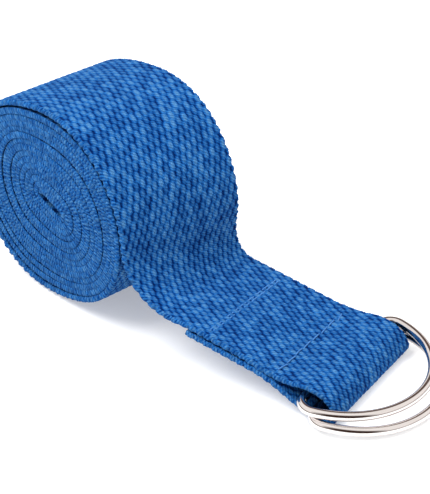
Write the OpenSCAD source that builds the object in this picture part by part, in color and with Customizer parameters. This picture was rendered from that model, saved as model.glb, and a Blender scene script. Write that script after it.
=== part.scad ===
// Stretching strap: one cotton webbing strap, rolled up, with two D-rings
// sewn into a loop at its working end. Millimetres, +Z up.
// +X runs along the flat tail towards the rings, +Y across the tail.
// The origin is under the middle of the whole strap, on the surface it lies on.

/* [Webbing] */
// Width of the webbing
web_w = 38; // [36:0.5:39]
// Thickness of the webbing
web_t = 1.9; // [1.7:0.05:1.92]

/* [Roll] */
// Distance from one turn of the roll to the next
pitch = 1.96; // [1.96:0.01:2.1]
// Centreline radius of the outermost turn where the strap leaves the roll
roll_r = 29.6; // [26:0.2:33]
// Half length of the flat fold that the roll is wound around
roll_flat = 5.4; // [3:0.2:7]
// Tilt of that flat fold above the surface, degrees
roll_tilt = 13; // [0:1:25]
// Yaw of the roll against the tail, degrees
roll_yaw = 15; // [8:0.5:20]

/* [Tail] */
// Slope of the tail down to the surface, degrees
tail_slope = 11; // [10.5:0.5:12]
// Height of the strap's centre where the tail begins
tail_z = 13.6; // [13.3:0.1:13.8]
// Distance from the start of the tail to the sewn-down end
fold_start = 4.8; // [4:0.2:8]
// Sideways offset of the folded-under ply
fold_shift = 1.2; // [0:0.1:1.5]
// Distance from the start of the tail to the inner stitch row
stitch_a = 10.4; // [9:0.2:14]
// Distance from the start of the tail to the outer stitch row
stitch_b = 31.6; // [26:0.2:32]

/* [D-rings] */
// Diameter of the ring wire
wire_d = 2.6; // [2.4:0.1:2.7]
// Centreline radius of the bow of a ring
ring_r = 23.2; // [22.5:0.1:24]
// Centreline radius of a ring's corners
ring_corner = 4; // [3:0.2:5]
// Distance from the start of the tail to the upper ring's bar
bar_a_x = 40.2; // [40:0.1:40.4]
// Distance from the start of the tail to the lower ring's bar
bar_b_x = 43.4; // [43.2:0.1:43.6]

/* [Hidden] */
blue = [0.16, 0.40, 0.68];
nickel = [0.86, 0.85, 0.84];
ht = web_t / 2;
wr = wire_d / 2;
ply_gap = 0.05;
// thread and stitch sizes
thread_d = 0.6;
stitch_len = 3.0;
stitch_step = 3.8;
// clearance at the flexing line between bend and tail
flex_gap = 0.3;

// ---- roll: a spiral wound around a short flat fold ----
seg = 15;
theta_out = 0;
r_in = 1.25;
turns_deg = floor((roll_r - r_in) / pitch * 360 / seg) * seg;
u = [cos(roll_tilt), sin(roll_tilt)];
function clamp1(x) = max(-1, min(1, x));
function spiral(a, off) =
    let(r = roll_r - pitch * (a - theta_out) / 360 + off,
        n = [cos(a), sin(a)],
        s = clamp1(3 * (n * u)))
    r * n + roll_flat * s * u;
roll_outer = [for (k = [0 : turns_deg / seg]) spiral(theta_out + k * seg, ht)];
roll_inner = [for (k = [0 : turns_deg / seg]) spiral(theta_out + k * seg, -ht)];
roll_pts = concat(roll_outer,
    [for (k = [len(roll_inner) - 1 : -1 : 0]) roll_inner[k]]);
roll_low = min([for (p = roll_outer) p[1]]);
// the roll settles onto a narrow flat under its own weight
roll_press = 0.15;
roll_z = -roll_low - roll_press;
// where the strap leaves the roll, heading straight down (roll frame)
leave = spiral(theta_out, 0) + [0, roll_z];

// ---- bend: from the roll down to the tail, turning by the yaw on the way ----
// tail start, in the tail's own frame the point [0, 0, tail_z]
bend_reach = 11.2;
bend_r = bend_reach / (1 - sin(tail_slope));
bend_drop = bend_r * cos(tail_slope);
straight = leave[1] - tail_z - bend_drop;
// centreline points [x along, z, direction angle below horizontal, turned share]
bend_n = 12;
function smooth01(t) = t * t * (3 - 2 * t);
bend_len = straight + bend_r * (90 - tail_slope) * PI / 180;
cut_len = ht + flex_gap;
function bend_pt(s) = s <= straight
    ? [0, leave[1] - s, 90]
    : let(a = 90 - (s - straight) / bend_r * 180 / PI)
      [bend_r * (1 - sin(a)), tail_z + bend_r * (cos(tail_slope) - cos(a)), a];
// yaw of the cross section against the tail frame at length s
function bend_yaw(s) = -roll_yaw * (1 - smooth01(min(1, s / bend_len)));
// ground position of the centreline in the tail frame
function leave_x() = -bend_reach * cos(roll_yaw / 2);
function leave_y() = bend_reach * sin(roll_yaw / 2);
function bend_xy(s) = let(b = bend_pt(s)[0] / bend_reach)
    [leave_x() * (1 - b), leave_y() * (1 - b) * (1 - 0.0 * b)];
function bend_ring(s) =
    let(p = bend_pt(s), y = bend_yaw(s), g = bend_xy(s),
        ax = [-sin(y), cos(y), 0],
        nx = [cos(y) * sin(p[2]), sin(y) * sin(p[2]), cos(p[2])],
        c = [g[0], g[1], p[1]])
    [c - ax * web_w / 2 + nx * ht, c + ax * web_w / 2 + nx * ht,
     c + ax * web_w / 2 - nx * ht, c - ax * web_w / 2 - nx * ht];
bend_s = [for (k = [0 : bend_n]) (bend_len - cut_len) * k / bend_n];
bend_pts = [for (s = bend_s) each bend_ring(s)];
bend_faces = concat([[0, 1, 2, 3]],
    [for (k = [0 : bend_n - 1]) for (j = [0 : 3])
        each [[4 * k + j, 4 * k + 4 + j, 4 * k + 4 + (j + 1) % 4],
              [4 * k + j, 4 * k + 4 + (j + 1) % 4, 4 * k + (j + 1) % 4]]],
    [[4 * bend_n + 3, 4 * bend_n + 2, 4 * bend_n + 1, 4 * bend_n]]);

// ---- tail profile in the X-Z plane: upper ply, loop, folded-under ply ----
sl = tan(tail_slope);
loop_x0 = 33;
function upper_z(x) = tail_z - sl * x;
ply_off = (web_t + ply_gap) / cos(tail_slope);
function lower_z(x) = upper_z(x) - ply_off;
bar_room = 0.33;
// the webbing is pulled a little thinner where it goes around the rings
loop_t = 1.6;
lh = loop_t / 2;
bar_b_z = loop_t + bar_room + wr;
bar_a_z = bar_b_z + wire_d + 0.35;
// loop centreline: chosen so that both bars lie inside with a little room
loop_ctrl = [
    [loop_x0 - 4, upper_z(loop_x0 - 4)],
    [loop_x0, upper_z(loop_x0)],
    [36.6, bar_a_z + 1.85],
    [40.0, bar_a_z + wr + bar_room + lh + 0.05],
    [43.6, bar_a_z + 1.9],
    [46.4, bar_a_z + 0.55],
    [48.3, bar_a_z - 1.6],
    [48.95, bar_b_z - 0.5],
    [48.0, lh + 0.5],
    [45.6, lh + 0.08],
    [42.2, lh + 0.14],
    [38.0, 2.35],
    [loop_x0, lower_z(loop_x0)],
    [loop_x0 - 4, lower_z(loop_x0 - 4)]];
loop_sub = 4;
function cr(a, b, c, d, t) =
    0.5 * ((2 * b) + (c - a) * t + (2 * a - 5 * b + 4 * c - d) * t * t
           + (3 * b - a - 3 * c + d) * t * t * t);
loop_mid = concat([for (i = [1 : len(loop_ctrl) - 3]) for (k = [0 : loop_sub - 1])
    cr(loop_ctrl[i - 1], loop_ctrl[i], loop_ctrl[i + 1], loop_ctrl[i + 2], k / loop_sub)],
    [loop_ctrl[len(loop_ctrl) - 2]]);
function unit(v) = v / norm(v);
function perp(v) = [-v[1], v[0]];
function nrm(P, i) = let(n = len(P) - 1)
    (i == 0 || i == n) ? [sin(tail_slope), cos(tail_slope)] * (i == 0 ? 1 : -1)
    : perp(unit(P[i + 1] - P[i - 1]));
function loop_h(i) = let(m = len(loop_mid) - 1)
    lh + (ht - lh) * max(0, 1 - min(i, m - i) / 6);
loop_out = [for (i = [0 : len(loop_mid) - 1]) loop_mid[i] + nrm(loop_mid, i) * loop_h(i)];
loop_in = [for (i = [len(loop_mid) - 1 : -1 : 0]) loop_mid[i] - nrm(loop_mid, i) * loop_h(i)];
tn = [sin(tail_slope), cos(tail_slope)];

// ---- whole extent, for placing the origin ----
leave_g = [leave_x(), leave_y()];
roll_rot = [[cos(-roll_yaw), -sin(-roll_yaw)], [sin(-roll_yaw), cos(-roll_yaw)]];
function roll_to_tail(p) = leave_g + roll_rot * [p[0] - leave[0], p[1]];
roll_xs = [for (p = roll_outer) each [roll_to_tail([p[0], web_w / 2])[0],
                                      roll_to_tail([p[0], -web_w / 2])[0]]];
roll_ys = [for (p = roll_outer) each [roll_to_tail([p[0], web_w / 2])[1],
                                      roll_to_tail([p[0], -web_w / 2])[1]]];
ring_tilt_b = asin((bar_b_z - wr) / ring_r);
ring_tilt_a = 3;
x_max = bar_b_x + ring_r * cos(ring_tilt_b) + wr;
x_min = min(roll_xs);
ring_half = sqrt(pow(ring_r - ring_corner, 2) - pow(ring_corner, 2)) + ring_corner + wr + 0.03;
y_max = max(concat(roll_ys, [ring_half]));
y_min = min(concat(roll_ys, [-ring_half]));
shift = [-(x_min + x_max) / 2, -(y_min + y_max) / 2, 0];

module band(profile, shift_y = 0) {
    translate([0, shift_y, 0]) rotate([90, 0, 0])
        linear_extrude(web_w, center = true) polygon(profile);
}

module webbing_roll() {
    color(blue) translate(shift)
        translate([leave_g[0], leave_g[1], roll_z]) rotate([0, 0, -roll_yaw])
            translate([-leave[0], 0, 0]) difference() {
                band(roll_pts);
                translate([-100, -100, roll_low + roll_press - 10]) cube([200, 200, 10]);
            }
}

module webbing_bend() {
    color(blue) translate(shift) polyhedron(bend_pts, bend_faces, convexity = 4);
}

// upper ply: its free start is rounded about the flexing line
module webbing_tail() {
    color(blue) translate(shift) {
        band([[0, tail_z] + tn * ht, [loop_x0, upper_z(loop_x0)] + tn * ht,
              [loop_x0, upper_z(loop_x0)] - tn * ht, [0, tail_z] - tn * ht]);
        translate([0, 0, tail_z]) rotate([90, 0, 0])
            cylinder(h = web_w, d = web_t, center = true, $fn = 48);
    }
}

module webbing_loop() {
    color(blue) translate(shift) band(concat(loop_out, loop_in));
}

module webbing_fold_under() {
    color(blue) translate(shift)
        band([[fold_start, lower_z(fold_start)] + tn * ht,
              [loop_x0, lower_z(loop_x0)] + tn * ht,
              [loop_x0, lower_z(loop_x0)] - tn * ht,
              [fold_start, lower_z(fold_start)] - tn * ht], -fold_shift);
}

// D-ring: straight bar along Y at the origin, bow towards +X.
// The corners are a hair thicker than the bar and the bow that run into them.
module d_ring() {
    yc = sqrt(pow(ring_r - ring_corner, 2) - pow(ring_corner, 2));
    beta = atan2(yc, ring_corner);
    run_in = 0.3;
    bow = beta + run_in / ring_r * 180 / PI;
    rotate([90, 0, 0])
        cylinder(h = 2 * (yc + run_in), d = wire_d, center = true, $fn = 48);
    rotate([0, 0, -bow]) rotate_extrude(angle = 2 * bow, $fn = 96)
        translate([ring_r, 0]) circle(d = wire_d, $fn = 48);
    for (a = [[1, beta], [-1, 180]]) translate([ring_corner, a[0] * yc, 0])
        rotate([0, 0, a[1]]) rotate_extrude(angle = 180 - beta, $fn = 96)
            translate([ring_corner, 0]) circle(d = wire_d + 0.06, $fn = 48);
}

module d_ring_upper() {
    color(nickel) translate(shift) translate([bar_a_x, 0, bar_a_z])
        rotate([0, ring_tilt_a, 0]) d_ring();
}

module d_ring_lower() {
    color(nickel) translate(shift) translate([bar_b_x, 0, bar_b_z])
        rotate([0, ring_tilt_b, 0]) d_ring();
}

// a row of separate thread floats across the strap, on both faces
module stitch_row(x, side_shift) {
    n = floor((web_w - 4) / stitch_step);
    for (k = [0 : n - 1]) {
        y = (k - (n - 1) / 2) * stitch_step;
        translate([x, y, upper_z(x)]) rotate([0, tail_slope, 0])
            translate([0, 0, ht + thread_d / 2]) rotate([90, 0, 0])
                cylinder(h = stitch_len, d = thread_d, center = true, $fn = 16);
        translate([x, y + side_shift, lower_z(x)]) rotate([0, tail_slope, 0])
            translate([0, 0, -ht - thread_d / 2]) rotate([90, 0, 0])
                cylinder(h = stitch_len, d = thread_d, center = true, $fn = 16);
    }
}

module stitch_row_inner() {
    color("lightskyblue") translate(shift) stitch_row(stitch_a, 0);
}

module stitch_row_outer() {
    color("lightskyblue") translate(shift) stitch_row(stitch_b, 0);
}

webbing_roll();
webbing_bend();
webbing_tail();
webbing_loop();
webbing_fold_under();
d_ring_upper();
d_ring_lower();
stitch_row_inner();
stitch_row_outer();
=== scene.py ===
import math
import bpy
import numpy as np
from mathutils import Matrix, Vector


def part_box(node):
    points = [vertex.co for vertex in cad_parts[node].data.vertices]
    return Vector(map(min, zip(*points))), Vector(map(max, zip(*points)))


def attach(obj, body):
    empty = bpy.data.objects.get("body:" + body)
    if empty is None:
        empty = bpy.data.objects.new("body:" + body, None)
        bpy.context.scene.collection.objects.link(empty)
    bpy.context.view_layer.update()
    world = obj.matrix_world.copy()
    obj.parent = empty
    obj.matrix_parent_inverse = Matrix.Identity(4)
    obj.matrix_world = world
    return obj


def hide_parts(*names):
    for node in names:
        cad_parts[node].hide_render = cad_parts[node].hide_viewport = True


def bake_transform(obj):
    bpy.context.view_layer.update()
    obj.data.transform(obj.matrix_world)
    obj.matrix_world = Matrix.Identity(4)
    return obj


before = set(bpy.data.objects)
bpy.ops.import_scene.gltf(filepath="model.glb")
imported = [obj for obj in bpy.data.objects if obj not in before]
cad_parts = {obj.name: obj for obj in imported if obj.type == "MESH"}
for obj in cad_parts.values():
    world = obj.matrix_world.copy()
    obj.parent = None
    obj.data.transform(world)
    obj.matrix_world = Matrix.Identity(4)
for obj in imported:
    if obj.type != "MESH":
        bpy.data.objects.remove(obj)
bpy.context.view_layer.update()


# ------------------------------------------------------------------ camera
cam_data = bpy.data.cameras.new("camera")
cam = bpy.data.objects.new("camera", cam_data)
bpy.context.scene.collection.objects.link(cam)
right = Vector((0.83094, 0.55428, -0.04814)).normalized()
ahead = Vector((-0.49519, 0.69736, -0.51816)).normalized()
up = right.cross(ahead).normalized()
right = ahead.cross(up).normalized()
roll = math.radians(1.0)
right, up = (right * math.cos(roll) + up * math.sin(roll)), (up * math.cos(roll) - right * math.sin(roll))
m = Matrix.Identity(4)
for i in range(3):
    m[i][0], m[i][1], m[i][2] = right[i], up[i], -ahead[i]
m.translation = Vector((0.21373, -0.29500, 0.24202))
cam.matrix_world = m
cam_data.lens = 114.59
cam_data.sensor_width = 36.0
cam_data.clip_start = 0.01
cam_data.clip_end = 20.0
bpy.context.scene.camera = cam

# ------------------------------------------------------------------ sizes, in mm
WEB_W, HT, PITCH, ROLL_R, R_IN = 38.0, 0.95, 1.96, 29.6, 1.25
FLAT, YAW, SLOPE, TAIL_Z = 5.4, 15.0, 11.0, 13.6
REACH = 11.2
rad = math.radians
TURNS = math.floor((ROLL_R - R_IN) / PITCH * 24) * 15.0
tail_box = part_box("webbing_tail")
SX = float(tail_box[0][0]) * 1000 + 0.95
SY = (float(tail_box[0][1]) + float(tail_box[1][1])) * 500
BEND_R = REACH / (1 - math.sin(rad(SLOPE)))


def spiral2(a, tilt_deg, radius, flat):
    a = np.radians(a)
    t = np.radians(tilt_deg)
    n = np.stack([np.cos(a), np.sin(a)], -1)
    u = np.stack([np.cos(t), np.sin(t)], -1)
    # soft clamp so that the two ends of the flat fold stay round
    d = np.sum(n * u, -1)
    s = np.tanh(2.6 * d) / np.tanh(2.6)
    return radius[..., None] * n + (flat * s)[..., None] * u


def smooth01(t):
    t = np.clip(t, 0, 1)
    return t * t * (3 - 2 * t)


# CAD spiral at its end and at its lowest point, for the height of the roll
lows = []
for k in range(int(TURNS / 15) + 1):
    a = k * 15.0
    n = (math.cos(rad(a)), math.sin(rad(a)))
    u = (math.cos(rad(13)), math.sin(rad(13)))
    s = max(-1, min(1, 3 * (n[0] * u[0] + n[1] * u[1])))
    r = ROLL_R - PITCH * a / 360 + HT
    lows.append(r * n[1] + FLAT * s * u[1])
ROLL_Z = -min(lows) - 0.15
LEAVE = (ROLL_R + FLAT * math.cos(rad(13)), FLAT * math.sin(rad(13)) + ROLL_Z)
LG = (-REACH * math.cos(rad(YAW / 2)), REACH * math.sin(rad(YAW / 2)))

# ------------------------------------------------------------------ path of the strap
# every station: centre, across, outward, all in the part's frame, mm
SHIFT = np.array([SX, SY, 0.0])
across_roll = np.array([math.sin(rad(YAW)), math.cos(rad(YAW)), 0.0])
along_roll = np.array([math.cos(rad(YAW)), -math.sin(rad(YAW)), 0.0])
lift = np.array([0, 0, 1.0])

a = np.linspace(TURNS, 0, int(TURNS) * 2 + 1)
opened = 0.70 * smooth01((a - 140) / 200) + 0.20 * smooth01((a - 500) / 160)
inner_pitch = (ROLL_R - 0.95 - 0.90) / (TURNS / 360)
radius = ROLL_R - inner_pitch * a / 360 - opened
tilt = 13 - 35 * np.clip(a / TURNS, 0, 1) ** 0.8
core = np.clip(a / TURNS, 0, 1)
P = spiral2(a, tilt, radius, FLAT - 1.6 * core)
P += np.stack([2.3 * core, 1.0 * core], -1)
# the roll was squeezed by hand: the inside is a little uneven
wob = 0.10 * np.sin(np.radians(a * 0.71) + 1.1) * smooth01(a / 700)
P = P * (1 + wob / 29.0)[:, None]
P[:, 1] += ROLL_Z
# the last quarter turn meets the leaving point exactly
fix = np.array(LEAVE) - P[-1]
P += fix * (1 - smooth01(a / 200))[:, None]
base = np.array([LG[0], LG[1], 0.0]) + SHIFT
roll_xyz = (base[None, :] + (P[:, 0] - LEAVE[0])[:, None] * along_roll[None, :]
            + P[:, 1][:, None] * lift[None, :])
# side to side shift of the turns: outer ones stand a little proud
tele = (0.30 * (1 - smooth01((a - 560) / 200)) - 0.15
        + 0.20 * np.sin(np.radians(a * 0.43)) * smooth01((a - 700) / 600) * (1 - smooth01((a - 4000) / 900)))
tele = tele * smooth01(a / 160)
roll_xyz = roll_xyz - tele[:, None] * across_roll[None, :]
roll_w = np.repeat(across_roll[None, :], len(a), 0)

straight = LEAVE[1] - TAIL_Z - BEND_R * math.cos(rad(SLOPE))
bend_len = straight + BEND_R * rad(90 - SLOPE)
sb = np.linspace(0, bend_len, 160)[1:]
ang = np.where(sb <= straight, 90.0, 90 - np.degrees((sb - straight) / BEND_R))
bx = np.where(sb <= straight, 0.0, BEND_R * (1 - np.sin(np.radians(ang))))
bz = np.where(sb <= straight, LEAVE[1] - sb,
              TAIL_Z + BEND_R * (math.cos(rad(SLOPE)) - np.cos(np.radians(ang))))
share = bx / REACH
yaw = -YAW * (1 - smooth01(sb / bend_len))
bend_xyz = np.stack([LG[0] * (1 - share) + SX, LG[1] * (1 - share) + SY, bz], -1)
bend_w = np.stack([-np.sin(np.radians(yaw)), np.cos(np.radians(yaw)), 0 * yaw], -1)

sl = math.tan(rad(SLOPE))
WR, T = 1.3, 1.9
LT, ROOM = 1.6, 0.33
LH = LT / 2
BAR_B = LT + ROOM + WR
BAR_A = BAR_B + 2.6 + 0.35


def upper_z(x):
    return TAIL_Z - sl * x


PLY = (T + 0.05) / math.cos(rad(SLOPE))


def lower_z(x):
    return upper_z(x) - PLY


ctrl = np.array([
    [25, upper_z(25)], [29, upper_z(29) + 0.25], [33, upper_z(33) + 0.75], [36.6, BAR_A + 1.95],
    [40.0, BAR_A + WR + ROOM + LH - 0.10], [43.6, BAR_A + 1.8], [46.4, BAR_A + 0.55],
    [48.3, BAR_A - 1.6], [48.95, BAR_B - 0.5], [48.0, LH + 0.5], [45.6, LH + 0.08],
    [42.2, LH + 0.14], [38.3, 3.05], [33, lower_z(33)], [29, lower_z(29)], [25, lower_z(25)]])


def catmull(c, n):
    out = []
    for i in range(1, len(c) - 2):
        for t in np.arange(n) / n:
            p0, p1, p2, p3 = c[i - 1], c[i], c[i + 1], c[i + 2]
            out.append(0.5 * (2 * p1 + (p2 - p0) * t + (2 * p0 - 5 * p1 + 4 * p2 - p3) * t ** 2
                              + (3 * p1 - p0 - 3 * p2 + p3) * t ** 3))
    out.append(c[-2])
    return np.array(out)


loop2 = catmull(ctrl, 24)
xs = np.linspace(0, 29, 120)[1:-1]
tail2 = np.concatenate([np.stack([xs, upper_z(xs)], -1), loop2,
                        np.stack([np.linspace(29, 4.8, 90)[1:], lower_z(np.linspace(29, 4.8, 90)[1:])], -1)])
fold_len = np.concatenate([[0], np.cumsum(np.linalg.norm(np.diff(tail2, axis=0), axis=1))])
# the folded-under end drifts sideways a little
side = -0.4 * smooth01((fold_len - fold_len[len(xs) + len(loop2) * 2 // 3]) / 22.0)
tail_xyz = np.stack([tail2[:, 0] + SX, side + SY, tail2[:, 1]], -1)
tail_w = np.repeat(np.array([[0, 1.0, 0]]), len(tail2), 0)

C = np.concatenate([roll_xyz, bend_xyz, tail_xyz])
W = np.concatenate([roll_w, bend_w, tail_w])
d = np.concatenate([[0], np.cumsum(np.linalg.norm(np.diff(C, axis=0), axis=1))])
keep = np.concatenate([[True], np.diff(d) > 1e-6])
C, W, d = C[keep], W[keep], d[keep]
TOTAL = d[-1]
tail_at = TOTAL - fold_len[-1]
bend_at = tail_at - bend_len
s_of_a = lambda q: float(np.interp(-q, -a, np.concatenate(
    [[0], np.cumsum(np.linalg.norm(np.diff(roll_xyz, axis=0), axis=1))])))
dense_from = s_of_a(392.0)


def station(s):
    c = np.stack([np.interp(s, d, C[:, i]) for i in range(3)], -1)
    w = np.stack([np.interp(s, d, W[:, i]) for i in range(3)], -1)
    h = 0.35
    lo, hi = np.clip(s - h, 0, TOTAL), np.clip(s + h, 0, TOTAL)
    t = (np.stack([np.interp(hi, d, C[:, i]) for i in range(3)], -1)
         - np.stack([np.interp(lo, d, C[:, i]) for i in range(3)], -1))
    t /= np.linalg.norm(t, axis=1, keepdims=True)
    w /= np.linalg.norm(w, axis=1, keepdims=True)
    n = np.cross(t, w)
    n /= np.linalg.norm(n, axis=1, keepdims=True)
    return c, w, n


# ------------------------------------------------------------------ weave
COLS, STEP = 37, 4.5
PC = 37.4 / COLS
CORE, RISE = 0.60, 0.34
EDGE_V = 18.4


def hash01(x, y):
    v = np.sin(x * 12.9898 + y * 78.233 + 4.1) * 43758.5453
    return v - np.floor(v)


def weave(s, v, face):
    """height 0..1 of the warp floats, and a random number per float"""
    best = np.full(np.broadcast(s, v).shape, -9.0)
    rnd = np.zeros_like(best)
    own = np.floor(v / PC + COLS / 2)
    on_tail = smooth01((s - bend_at) / 25.0)
    # the sewn tail is woven up tighter, so its rows lie closer together
    late = s - bend_at - 14.0
    turns = s / STEP + 0.052 * 0.5 * (late + np.sqrt(late ** 2 + 36.0))
    skew = 0.12 * (1 - on_tail)
    slant = 0.07 + 0.06 * on_tail
    for dc in (-1, 0, 1):
        c = own + dc
        vk = (c - COLS / 2 + 0.5) * PC
        dv = v - vk
        sway = (0.5 * np.mod(c + face, 2) + 0.020 * np.sin(c * 2.1 + s * 0.06)
                + 0.020 * np.sin(0.31 * s + 0.55 * v) + 0.018 * np.sin(0.83 * s - 0.9 * v + 2.0))
        q = turns + skew * v / STEP + sway
        for dr in (0, 1):
            r = np.floor(q - 0.5) + dr
            g = hash01(c + 37 * face, r)
            g2 = hash01(1.7 * c + 11 + 53 * face, r + 0.37)
            fs = q - r - 0.5 + 0.07 * (g2 - 0.5)
            across = (dv + slant * fs * STEP + 0.22 * (g2 - 0.5)) / (0.87 * PC * (0.86 + 0.26 * g))
            val = 1 - np.abs(across) ** 2.2 - np.abs(fs / (0.325 + 0.05 * g)) ** 2.4 - 0.12 * g2
            val = np.where(np.abs(vk) > 18.8, -9.0, val)
            better = val > best
            best = np.where(better, val, best)
            rnd = np.where(better, g, rnd)
    h = np.clip(best + 0.10, 0, 1) ** 0.75
    return np.clip(h * (0.90 + 0.20 * (rnd - 0.5)), 0, 1.05), rnd


def section(s, cols_top, cols_bottom, edge_n, wide, edge_half):
    """one closed outline per station: top side, far edge, bottom side, near edge"""
    rows = len(s)
    S = s[:, None]
    vt = np.repeat(cols_top[None, :], rows, 0)
    ht, gt = weave(S, vt, 0)
    fade = np.clip((EDGE_V + 0.2 - np.abs(vt)) / 1.0, 0, 1)
    zt = CORE + RISE * ht * (0.35 + 0.65 * fade)
    vb = np.repeat(cols_bottom[None, ::-1], rows, 0)
    hb, gb = weave(S, vb, 1)
    fade = np.clip((EDGE_V + 0.2 - np.abs(vb)) / 1.0, 0, 1)
    zb = -(CORE + RISE * hb * (0.35 + 0.65 * fade))
    phi = np.radians(np.linspace(90, -90, edge_n + 2)[1:-1])

    def edge(sign):
        ph = phi if sign > 0 else phi[::-1]
        f = np.repeat(ph[None, :], rows, 0)
        o = 0.0 if sign > 0 else 0.31
        # weft turns show as knuckles along the selvedge
        k1 = np.abs(np.sin(np.pi * (S / 2.6 + o + 0.10 * np.sin(0.5 * S + sign)))) ** 0.8
        kk = np.floor(S / 1.27)
        g1 = hash01(kk, 5.0 + sign)
        g2 = hash01(np.floor(S / 0.93 + 0.35), 17.0 + sign)
        k2 = np.sin(2 * np.pi * S / 1.27 + 2.0 * f * (g1 + 0.4) + 1.5 * g1) * (1 - 0.35 * wide)
        k3 = np.sin(2 * np.pi * S / 0.93 - 2.6 * f + 2.4 * np.sin(S * 0.37))
        calm = 1 - 0.6 * smooth01((S - tail_at - 27) / 8) * (1 - smooth01((S - tail_at - 64) / 8))
        out = 0.62 - 0.20 * wide + wide * (0.16 + calm * 0.60) * k1 * np.abs(np.cos(f)) + (0.15 * k2 + 0.12 * k3) * (1 - 0.3 * wide)
        v = sign * (EDGE_V + out * np.abs(np.cos(f)) ** 0.45)
        z = edge_half * np.sign(np.sin(f)) * np.abs(np.sin(f)) ** 0.9 + 0.05 * k3
        # edge tone: random tone per weft turn, a rise and fall with the knuckles that is partly weave pattern and
        # partly painted shade on the bumps, and painted shade darker towards the flat sides where neighbouring turns
        # meet
        h = 0.64 + 0.32 * k2 + 0.26 * k3 + 0.34 * (g2 - 0.5) - 0.10 * (1 - np.abs(np.cos(f)) ** 0.5)
        g = np.repeat(g1, f.shape[1], 1)
        return v, z, np.clip(h, 0.06, 1), g

    vr, zr, hr, gr = edge(1)
    vl, zl, hl, gl = edge(-1)
    V = np.concatenate([vt, vr, vb, vl], 1)
    Z = np.concatenate([zt, zr, zb, zl], 1)
    H = np.concatenate([ht, hr, hb, hl], 1)
    G = np.concatenate([gt, gr, gb, gl], 1)
    return V, Z, H, G


apex = fold_len[np.argmax(tail2[:, 0])]


def near_lift(q, x):
    """how far the near side of the tail is raised above its far side"""
    up = smooth01((q + 15) / 22) * (2.5 - 1.9 * smooth01((q - 20) / 18))
    low = 2.5 * smooth01((38.5 - x) / 13)
    return np.where(q < apex, up, low)


def place(s, V, Z):
    c, w, n = station(s)
    # the outermost turn lies loose at its far side
    back = bend_at - s
    loose = smooth01((back + 22) / 20.0) * (1 - smooth01((back - 22) / 30.0))
    Z = Z + loose[:, None] * (0.72 + 0.045 * V)
    q = s - tail_at
    up = near_lift(q, np.interp(q, fold_len, tail2[:, 0]))[:, None] * (19.4 - V) / 38.8
    X = c[:, None, :] + V[:, :, None] * w[:, None, :] + Z[:, :, None] * n[:, None, :]
    X[:, :, 2] += up
    return X


fine = np.linspace(-EDGE_V, EDGE_V, 111)
pick_top = np.arange(0, 111, 11)
under = fine[::2]
pick_under = np.arange(0, 56, 11)
EDGE_N = 9

s1 = np.arange(0, dense_from, 0.36)
s2 = np.linspace(dense_from, TOTAL, int((TOTAL - dense_from) / 0.34))

# the webbing is thinner where it is pulled around the rings
fold_at = d[-1] - fold_len[-1]
x_of = np.interp(s2, fold_at + fold_len, tail2[:, 0])
past = smooth01((x_of - 33.5) / 3.0) * (s2 > fold_at)
thin = (1 - 0.15 * past)[:, None]
V1, Z1, H1, G1 = section(s1, fine[pick_top], under[pick_under], EDGE_N, 0.2, 1.02)
V2, Z2, H2, G2 = section(s2, fine, under, EDGE_N, 1.0, 0.88)
Z2 = Z2 * thin
# turns inside the roll lie flat against each other where nobody sees
nt1, nb1 = len(pick_top), len(pick_under)
Z1[:, 1:nt1 - 1] = 0.80
Z1[:, nt1 + EDGE_N + 1:nt1 + EDGE_N + nb1 - 1] = -0.80
X1 = place(s1, V1, Z1)
X2 = place(s2, V2, Z2)
m1, m2 = X1.shape[1], X2.shape[1]
n1, n2 = len(s1), len(s2)

verts = np.concatenate([X1.reshape(-1, 3), X2.reshape(-1, 3)]) / 1000.0
# per vertex float height; the cotton material turns it into painted shade, dark in the hollows between floats and
# lighter on the float tops
height = np.concatenate([H1.ravel(), H2.ravel()])
rand = np.concatenate([G1.ravel(), G2.ravel()])
# developed length and width, for the weave's own coordinates
su = np.concatenate([np.repeat(s1, m1), np.repeat(s2, m2)])
vv = np.concatenate([V1.ravel(), V2.ravel()])


def ring_faces(n, mm, off):
    i = np.arange(n - 1)[:, None] * mm + off
    j = np.arange(mm)[None, :]
    k = (j + 1) % mm
    return np.stack([i + j, i + mm + j, i + mm + k, i + k], -1).reshape(-1, 4)


quads = np.concatenate([ring_faces(n1, m1, 0), ring_faces(n2, m2, n1 * m1)])
faces = [tuple(int(x) for x in q) for q in quads]
# bridge from the plain inner outline to the fine outer one
dense_idx = (list(pick_top) + list(range(111, 111 + EDGE_N))
             + [111 + EDGE_N + int(x) for x in pick_under]
             + list(range(111 + EDGE_N + 56, 111 + EDGE_N + 56 + EDGE_N)))
assert len(dense_idx) == m1
row_a, row_b = (n1 - 1) * m1, n1 * m1
for j in range(m1):
    k = (j + 1) % m1
    lo, hi = dense_idx[j], dense_idx[k]
    if hi <= lo:
        hi += m2
    span = [row_b + (x % m2) for x in range(lo, hi + 1)]
    faces.append(tuple([row_a + j] + span + [row_a + k]))
# the two cut ends
first = list(range(m1))
faces.append(tuple(first))
last0 = n1 * m1 + (n2 - 1) * m2
mid_top = [last0 + j for j in range(111)]
mid_bot = [last0 + 111 + EDGE_N + j for j in range(56)][::-1]
for j in range(55):
    faces.append((mid_top[2 * j], mid_bot[j], mid_bot[j + 1], mid_top[2 * j + 2], mid_top[2 * j + 1]))
r_edge = [last0 + 111 + j for j in range(EDGE_N)]
l_edge = [last0 + 111 + EDGE_N + 56 + j for j in range(EDGE_N)]
faces.append(tuple([mid_top[-1], mid_bot[-1]] + r_edge[::-1]))
faces.append(tuple([mid_bot[0], mid_top[0]] + l_edge[::-1]))

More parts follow.
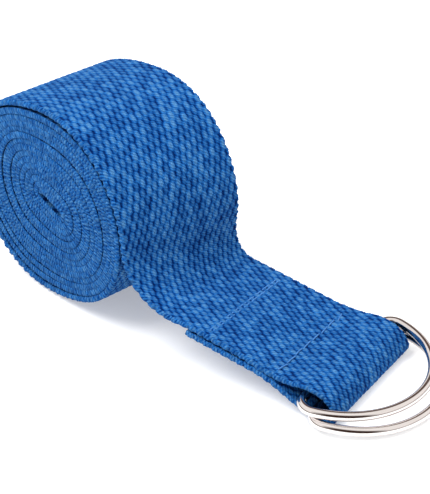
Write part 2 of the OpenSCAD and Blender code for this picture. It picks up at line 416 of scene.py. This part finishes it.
mesh = bpy.data.meshes.new("strap_webbing")
mesh.from_pydata(verts.tolist(), [], faces)
mesh.update()
for name, values in (("float_height_shade", height), ("float_rand", rand)):
    at = mesh.attributes.new(name, "FLOAT", "POINT")
    at.data.foreach_set("value", values.astype(np.float32))
uv = mesh.uv_layers.new(name="weave_uv")
vi = np.empty(len(mesh.loops), dtype=np.int32)
mesh.loops.foreach_get("vertex_index", vi)
pair = np.stack([su[vi] / 100.0, vv[vi] / 100.0], -1)
uv.data.foreach_set("uv", pair.astype(np.float32).ravel())
mesh.polygons.foreach_set("use_smooth", np.ones(len(mesh.polygons), dtype=bool))
strap = bpy.data.objects.new("strap_webbing", mesh)
bpy.context.scene.collection.objects.link(strap)
import bmesh
bm = bmesh.new()
bm.from_mesh(mesh)
bmesh.ops.recalc_face_normals(bm, faces=bm.faces)
bm.to_mesh(mesh)
bm.free()

# ------------------------------------------------------------------ materials
def srgb(r, g, b):
    out = []
    for x in (r, g, b):
        x /= 255.0
        out.append(x / 12.92 if x <= 0.04045 else ((x + 0.055) / 1.055) ** 2.4)
    return (*out, 1.0)


def new_material(name):
    mat = bpy.data.materials.new(name)
    mat.use_nodes = True
    nt = mat.node_tree
    return mat, nt, nt.nodes["Principled BSDF"]


def math_node(nt, op, x=None, y=None, clamp=False):
    n = nt.nodes.new("ShaderNodeMath")
    n.operation = op
    n.use_clamp = clamp
    for i, v in enumerate((x, y)):
        if v is None:
            continue
        if isinstance(v, (int, float)):
            n.inputs[i].default_value = v
        else:
            nt.links.new(v, n.inputs[i])
    return n.outputs[0]


def mix_colour(nt, mode, fac, c1, c2):
    n = nt.nodes.new("ShaderNodeMix")
    n.data_type = "RGBA"
    n.blend_type = mode
    for idx, v in ((0, fac), (6, c1), (7, c2)):
        if isinstance(v, (int, float, tuple)):
            n.inputs[idx].default_value = v
        else:
            nt.links.new(v, n.inputs[idx])
    return n.outputs[2]


def ramp(nt, fac, stops, interp="EASE"):
    n = nt.nodes.new("ShaderNodeValToRGB")
    n.color_ramp.interpolation = interp
    el = n.color_ramp.elements
    while len(el) < len(stops):
        el.new(0.5)
    for e, (p, c) in zip(el, stops):
        e.position = p
        e.color = c
    nt.links.new(fac, n.inputs[0])
    return n.outputs[0]


cotton, nt, bsdf = new_material("cotton_webbing")
# float height read here only as painted shade in the hollows between floats
at_h = nt.nodes.new("ShaderNodeAttribute"); at_h.attribute_name = "float_height_shade"
at_g = nt.nodes.new("ShaderNodeAttribute"); at_g.attribute_name = "float_rand"
uvn = nt.nodes.new("ShaderNodeUVMap"); uvn.uv_map = "weave_uv"
mm_map = nt.nodes.new("ShaderNodeMapping")
mm_map.inputs["Scale"].default_value = (100, 100, 1)
nt.links.new(uvn.outputs[0], mm_map.inputs[0])
# twist of the yarn: thin slanting lines on each float
twist = nt.nodes.new("ShaderNodeTexWave")
twist.wave_type, twist.bands_direction, twist.wave_profile = "BANDS", "X", "SIN"
tw_map = nt.nodes.new("ShaderNodeMapping")
tw_map.inputs["Rotation"].default_value = (0, 0, rad(38))
nt.links.new(mm_map.outputs[0], tw_map.inputs[0])
nt.links.new(tw_map.outputs[0], twist.inputs["Vector"])
twist.inputs["Scale"].default_value = 0.44
twist.inputs["Distortion"].default_value = 3.4
twist.inputs["Detail"].default_value = 2.5
twist.inputs["Detail Scale"].default_value = 2.2
# loose fibres
fib = nt.nodes.new("ShaderNodeTexNoise")
fib_map = nt.nodes.new("ShaderNodeMapping")
fib_map.inputs["Rotation"].default_value = (0, 0, rad(24))
fib_map.inputs["Scale"].default_value = (1.1, 2.9, 1)
nt.links.new(mm_map.outputs[0], fib_map.inputs[0])
nt.links.new(fib_map.outputs[0], fib.inputs["Vector"])
fib.inputs["Scale"].default_value = 1.0
fib.inputs["Detail"].default_value = 4.0
fib.inputs["Roughness"].default_value = 0.65
# slow dye variation
dye = nt.nodes.new("ShaderNodeTexNoise")
nt.links.new(mm_map.outputs[0], dye.inputs["Vector"])
dye.inputs["Scale"].default_value = 0.11
dye.inputs["Detail"].default_value = 3.0
# painted shade: colour runs from dark in the hollows between floats to lighter on the float tops
col = ramp(nt, at_h.outputs["Fac"], [(0.0, srgb(1, 28, 80)), (0.28, srgb(4, 57, 122)),
                                     (0.60, srgb(28, 87, 151)), (1.0, srgb(61, 108, 156))])
tw_c = ramp(nt, twist.outputs["Fac"], [(0.0, (0.54, 0.62, 0.70, 1)), (1.0, (1.34, 1.26, 1.18, 1))], "LINEAR")
col = mix_colour(nt, "MULTIPLY", 0.85, col, tw_c)
fb_c = ramp(nt, fib.outputs["Fac"], [(0.30, (0.55, 0.60, 0.66, 1)), (0.50, (0.98, 0.98, 0.98, 1)), (0.72, (1.55, 1.42, 1.30, 1))], "LINEAR")
col = mix_colour(nt, "MULTIPLY", 0.8, col, fb_c)
rnd = ramp(nt, at_g.outputs["Fac"], [(0.0, (0.80, 0.83, 0.86, 1)), (1.0, (1.20, 1.16, 1.12, 1))], "LINEAR")
col = mix_colour(nt, "MULTIPLY", 0.9, col, rnd)
dy = ramp(nt, dye.outputs["Fac"], [(0.3, (0.92, 0.93, 0.94, 1)), (0.7, (1.06, 1.05, 1.04, 1))], "LINEAR")
col = mix_colour(nt, "MULTIPLY", 1.0, col, dy)
nt.links.new(col, bsdf.inputs["Base Color"])
bsdf.inputs["Roughness"].default_value = 0.86
bsdf.inputs["Specular IOR Level"].default_value = 0.04
bsdf.inputs["Sheen Weight"].default_value = 0.05
bsdf.inputs["Sheen Roughness"].default_value = 0.45
bsdf.inputs["Sheen Tint"].default_value = srgb(150, 190, 240)
hsum = math_node(nt, "ADD", math_node(nt, "MULTIPLY", twist.outputs["Fac"], 0.55),
                 math_node(nt, "MULTIPLY", fib.outputs["Fac"], 0.75))
bump = nt.nodes.new("ShaderNodeBump")
bump.inputs["Strength"].default_value = 0.9
bump.inputs["Distance"].default_value = 0.00022
nt.links.new(hsum, bump.inputs["Height"])
nt.links.new(bump.outputs[0], bsdf.inputs["Normal"])
mesh.materials.append(cotton)

nickel, nt, bsdf = new_material("nickel_wire")
tc = nt.nodes.new("ShaderNodeTexCoord")
nz = nt.nodes.new("ShaderNodeTexNoise")
nt.links.new(tc.outputs["Object"], nz.inputs["Vector"])
nz.inputs["Scale"].default_value = 420.0
nz.inputs["Detail"].default_value = 4.0
rough = nt.nodes.new("ShaderNodeMapRange")
nt.links.new(nz.outputs["Fac"], rough.inputs[0])
rough.inputs["To Min"].default_value = 0.07
rough.inputs["To Max"].default_value = 0.17
nt.links.new(rough.outputs[0], bsdf.inputs["Roughness"])
nz2 = nt.nodes.new("ShaderNodeTexNoise")
nt.links.new(tc.outputs["Object"], nz2.inputs["Vector"])
nz2.inputs["Scale"].default_value = 90.0
nz2.inputs["Detail"].default_value = 2.0
mc = ramp(nt, nz2.outputs["Fac"], [(0.3, (0.72, 0.68, 0.66, 1)), (0.7, (0.81, 0.77, 0.755, 1))], "LINEAR")
nt.links.new(mc, bsdf.inputs["Base Color"])
bsdf.inputs["Metallic"].default_value = 1.0
b2 = nt.nodes.new("ShaderNodeBump")
b2.inputs["Strength"].default_value = 0.15
b2.inputs["Distance"].default_value = 0.00005
nt.links.new(nz2.outputs["Fac"], b2.inputs["Height"])
nt.links.new(b2.outputs[0], bsdf.inputs["Normal"])

thread_mat, nt, bsdf = new_material("sewing_thread")
tc = nt.nodes.new("ShaderNodeTexCoord")
wv = nt.nodes.new("ShaderNodeTexNoise")
nt.links.new(tc.outputs["Object"], wv.inputs["Vector"])
wv.inputs["Scale"].default_value = 2600.0
wv.inputs["Detail"].default_value = 3.0
tcx = ramp(nt, wv.outputs["Fac"], [(0.3, srgb(40, 92, 158)), (0.75, srgb(78, 132, 190))], "LINEAR")
nt.links.new(tcx, bsdf.inputs["Base Color"])
bsdf.inputs["Roughness"].default_value = 0.75
bsdf.inputs["Specular IOR Level"].default_value = 0.15
bsdf.inputs["Sheen Weight"].default_value = 0.05
b3 = nt.nodes.new("ShaderNodeBump")
b3.inputs["Strength"].default_value = 0.5
b3.inputs["Distance"].default_value = 0.00006
nt.links.new(wv.outputs["Fac"], b3.inputs["Height"])
nt.links.new(b3.outputs[0], bsdf.inputs["Normal"])


# ------------------------------------------------------------------ swept tubes
def tube(name, pts, r, sides, closed, mat, twist_amp=0.0, twist_pitch=1.0):
    """pts in mm"""
    pts = np.asarray(pts, float)
    n = len(pts)
    nxt = np.roll(pts, -1, 0) if closed else np.vstack([pts[1:], pts[-1:] * 2 - pts[-2:-1]])
    prv = np.roll(pts, 1, 0) if closed else np.vstack([pts[:1] * 2 - pts[1:2], pts[:-1]])
    tan = nxt - prv
    tan /= np.linalg.norm(tan, axis=1, keepdims=True)
    ref = np.array([0.0, 0.0, 1.0]) if abs(tan[:, 2]).max() < 0.8 else np.array([0.3, 0.9, 0.1])
    nrm = np.zeros_like(pts)
    v = ref - tan[0] * (ref @ tan[0])
    for i in range(n):
        v = v - tan[i] * (v @ tan[i])
        v /= np.linalg.norm(v)
        nrm[i] = v
    bi = np.cross(tan, nrm)
    ls = np.concatenate([[0], np.cumsum(np.linalg.norm(np.diff(pts, axis=0), axis=1))])
    th = np.arange(sides) * 2 * math.pi / sides
    rr = np.full((n, sides), r)
    if twist_amp:
        rr = r * (1 + twist_amp * np.cos(2 * (th[None, :] - 2 * math.pi * ls[:, None] / twist_pitch)))
    if not closed:
        cap = np.clip(np.minimum(ls, ls[-1] - ls) / r, 0, 1)
        rr = rr * np.sqrt(1 - (1 - cap[:, None]) ** 2 * 0.9)
    vs = pts[:, None, :] + rr[:, :, None] * (np.cos(th)[None, :, None] * nrm[:, None, :]
                                             + np.sin(th)[None, :, None] * bi[:, None, :])
    fs = []
    for i in range(n if closed else n - 1):
        i2 = (i + 1) % n
        for j in range(sides):
            k = (j + 1) % sides
            fs.append((i * sides + j, i * sides + k, i2 * sides + k, i2 * sides + j))
    if not closed:
        fs.append(tuple(range(sides))[::-1])
        fs.append(tuple((n - 1) * sides + j for j in range(sides)))
    return vs.reshape(-1, 3) / 1000.0, fs


def make(name, parts, mat):
    vs, fs, off = [], [], 0
    for v, f in parts:
        vs.append(v)
        fs += [tuple(x + off for x in q) for q in f]
        off += len(v)
    me = bpy.data.meshes.new(name)
    me.from_pydata(np.concatenate(vs).tolist(), [], fs)
    me.update()
    me.polygons.foreach_set("use_smooth", np.ones(len(me.polygons), dtype=bool))
    me.materials.append(mat)
    bmx = bmesh.new()
    bmx.from_mesh(me)
    bmesh.ops.recalc_face_normals(bmx, faces=bmx.faces)
    bmx.to_mesh(me)
    bmx.free()
    ob = bpy.data.objects.new(name, me)
    bpy.context.scene.collection.objects.link(ob)
    return ob


RING_R, CORNER = 23.2, 4.0
yc = math.sqrt((RING_R - CORNER) ** 2 - CORNER ** 2)
beta = math.atan2(yc, CORNER)


def ring_points():
    out = []
    for y in np.linspace(-yc, yc, 70)[:-1]:
        out.append((0.0, y))
    for t in np.linspace(math.pi, beta, 24)[:-1]:
        out.append((CORNER + CORNER * math.cos(t), yc + CORNER * math.sin(t)))
    for t in np.linspace(beta, -beta, 110)[:-1]:
        out.append((RING_R * math.cos(t), RING_R * math.sin(t)))
    for t in np.linspace(-beta, -math.pi, 24)[:-1]:
        out.append((CORNER + CORNER * math.cos(t), -yc + CORNER * math.sin(t)))
    return np.array(out)


def ring_mesh(name, bar_x, bar_z, tilt_deg):
    q = ring_points()
    c, s = math.cos(rad(tilt_deg)), math.sin(rad(tilt_deg))
    pts = np.stack([q[:, 0] * c + bar_x + SX, q[:, 1] + SY, bar_z - q[:, 0] * s], -1)
    v, f = tube(name, pts, WR, 28, True, nickel)
    return make(name, [(v, f)], nickel)


tilt_b = math.degrees(math.asin((BAR_B - WR) / RING_R))
upper = ring_mesh("ring_upper_wire", 40.2, BAR_A, 3.0)
lower = ring_mesh("ring_lower_wire", 43.4, BAR_B, tilt_b)
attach(upper, "ring_upper"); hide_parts("d_ring_upper")
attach(lower, "ring_lower"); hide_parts("d_ring_lower")


# ------------------------------------------------------------------ stitching
def stitch(points_xy, face, depth):
    """a thread float between two holes, laid over the webbing; x along the tail, y across"""
    (x0, y0), (x1, y1) = points_xy
    n = 15
    t = np.linspace(0, 1, n)
    x = x0 + (x1 - x0) * t
    y = y0 + (y1 - y0) * t
    arch = np.sin(np.pi * t) ** 0.5
    if face > 0:
        off = 0.60 + 0.27 * arch * depth
        cx, cz = x, upper_z(x)
        nx, nz = math.sin(rad(SLOPE)), math.cos(rad(SLOPE))
    else:
        off = -(0.60 + 0.27 * arch * depth)
        cx, cz = x, lower_z(x)
        nx, nz = math.sin(rad(SLOPE)), math.cos(rad(SLOPE))
    along = np.interp(x, tail2[:len(xs), 0], fold_len[:len(xs)])
    rise = near_lift(along if face > 0 else np.full(n, apex + 1.0), x) * (19.4 - y) / 38.8
    if face > 0:
        cz = np.interp(x, tail2[:len(xs) + len(loop2) // 2, 0], tail2[:len(xs) + len(loop2) // 2, 1])
    pts = np.stack([cx + nx * off + SX, y + SY, cz + nz * off + rise], -1)
    return tube("t", pts, 0.19, 10, False, thread_mat, 0.16, 1.0)


def row(x, length, gap, jitter, double, seed, sunk):
    r = np.random.RandomState(seed)
    parts = []
    for face in (1, -1):
        shift_y = 0.0
        y = -17.0
        k = 0
        while y + length < 17.4:
            dx = r.uniform(-jitter, jitter)
            dx2 = r.uniform(-jitter, jitter)
            y1 = y + length * (1 + r.uniform(-0.08, 0.08))
            dep = r.uniform(0.75, 1.1) - (sunk * float(smooth01((3.0 - y) / 8.0)) if face > 0 else 0.0)
            parts.append(stitch(((x + dx, y + shift_y), (x + dx2, min(y1, 17.6) + shift_y)), face, dep))
            if double and face > 0:
                parts.append(stitch(((x + 0.85 + dx2 * 0.5, y + shift_y + 0.7),
                                     (x + 0.85 + dx * 0.5, min(y1 + 0.7, 17.6) + shift_y)), face, dep))
            y = y1 + gap
            k += 1
    return parts


inner_row = make("stitch_inner_thread", row(10.4, 3.2, 0.5, 0.12, True, 3, 0.75), thread_mat)
outer_row = make("stitch_outer_thread", row(31.6, 3.7, 0.4, 0.55, False, 5, 0.25), thread_mat)
for ob, node in ((inner_row, "stitch_row_inner"), (outer_row, "stitch_row_outer")):
    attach(ob, "tail")
    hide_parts(node)

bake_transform(strap)
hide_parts("webbing_roll", "webbing_bend", "webbing_tail", "webbing_loop", "webbing_fold_under")
print("strap length mm", TOTAL, "dense from", dense_from, "faces", len(mesh.polygons))

# ------------------------------------------------------------------ floor and light
fl = bpy.data.meshes.new("floor")
fl.from_pydata([(-3, -3, 0), (3, -3, 0), (3, 3, 0), (-3, 3, 0)], [], [(0, 1, 2, 3)])
floor = bpy.data.objects.new("floor", fl)
floor.location.z = -0.0002
bpy.context.scene.collection.objects.link(floor)
fmat, nt, bsdf = new_material("studio_floor")
bsdf.inputs["Base Color"].default_value = (0.72, 0.72, 0.72, 1)
bsdf.inputs["Emission Color"].default_value = (1, 1, 1, 1)
bsdf.inputs["Emission Strength"].default_value = 0.34
bsdf.inputs["Roughness"].default_value = 0.7
bsdf.inputs["Specular IOR Level"].default_value = 0.2
fl.materials.append(fmat)

world = bpy.data.worlds.new("studio")
bpy.context.scene.world = world
world.use_nodes = True
wnt = world.node_tree
bg = wnt.nodes["Background"]
bg.inputs["Color"].default_value = (1, 1, 1, 1)
bg.inputs["Strength"].default_value = 0.80
# a pale studio with a dim brown strip low in front, seen only in polished metal
geo = wnt.nodes.new("ShaderNodeTexCoord")
sep = wnt.nodes.new("ShaderNodeSeparateXYZ")
wnt.links.new(geo.outputs["Generated"], sep.inputs[0])
low = ramp(wnt, math_node(wnt, "ADD", math_node(wnt, "MULTIPLY", sep.outputs["Z"], 0.5), 0.5),
           [(0.500, (0.9, 0.9, 0.9, 1)), (0.52, (1, 1, 1, 1)), (0.60, (1, 1, 1, 1)), (0.68, (0, 0, 0, 1))], "LINEAR")
front = ramp(wnt, math_node(wnt, "ADD", math_node(wnt, "MULTIPLY", sep.outputs["Y"], -0.5), 0.5),
             [(0.50, (0.55, 0.55, 0.55, 1)), (0.75, (1, 1, 1, 1))], "LINEAR")
lp = wnt.nodes.new("ShaderNodeLightPath")
band = math_node(wnt, "MULTIPLY", math_node(wnt, "MULTIPLY", low, front), lp.outputs["Is Glossy Ray"])
pale = mix_colour(wnt, "MIX", lp.outputs["Is Glossy Ray"], (1.0, 1.0, 1.0, 1.0), (1.36, 1.31, 1.28, 1.0))
wcol = mix_colour(wnt, "MIX", band, pale, (0.11, 0.06, 0.045, 1.0))
# a dark brown card standing in front of the table, and one high behind it
for k, (vec, lo_, hi_, tone) in enumerate((((0.523, -0.731, 0.438), 0.80, 0.93, (0.06, 0.030, 0.022, 1.0)),
                                           ((-0.30, 0.62, 0.72), 0.90, 0.95, (0.16, 0.10, 0.085, 1.0)))):
    dot = wnt.nodes.new("ShaderNodeVectorMath")
    dot.operation = "DOT_PRODUCT"
    wnt.links.new(geo.outputs["Generated"], dot.inputs[0])
    dot.inputs[1].default_value = vec
    card = ramp(wnt, dot.outputs["Value"], [(lo_, (0, 0, 0, 1)), (hi_, (1, 1, 1, 1))], "LINEAR")
    card = math_node(wnt, "MULTIPLY", card, lp.outputs["Is Glossy Ray"])
    wcol = mix_colour(wnt, "MIX", card, wcol, tone)
wnt.links.new(wcol, bg.inputs["Color"])


def area(name, loc, target, size, power, colour=(1, 1, 1)):
    ld = bpy.data.lights.new(name, "AREA")
    ld.shape = "RECTANGLE"
    ld.size, ld.size_y = size
    ld.energy = power
    ld.color = colour
    ob = bpy.data.objects.new(name, ld)
    ob.location = loc
    ob.rotation_euler = (Vector(target) - Vector(loc)).to_track_quat("-Z", "Y").to_euler()
    ob.visible_glossy = False
    bpy.context.scene.collection.objects.link(ob)
    return ob


area("key", (-0.25, -0.35, 0.75), (0, 0, 0.02), (0.45, 0.45), 7.0)
area("top", (0.1, 0.35, 0.8), (0, 0, 0.02), (0.5, 0.4), 3.0)
area("fill", (0.38, -0.22, 0.30), (0.02, 0, 0.02), (0.35, 0.35), 0.7)

bpy.context.scene.view_settings.view_transform = "Standard"
bpy.context.scene.view_settings.look = "None"
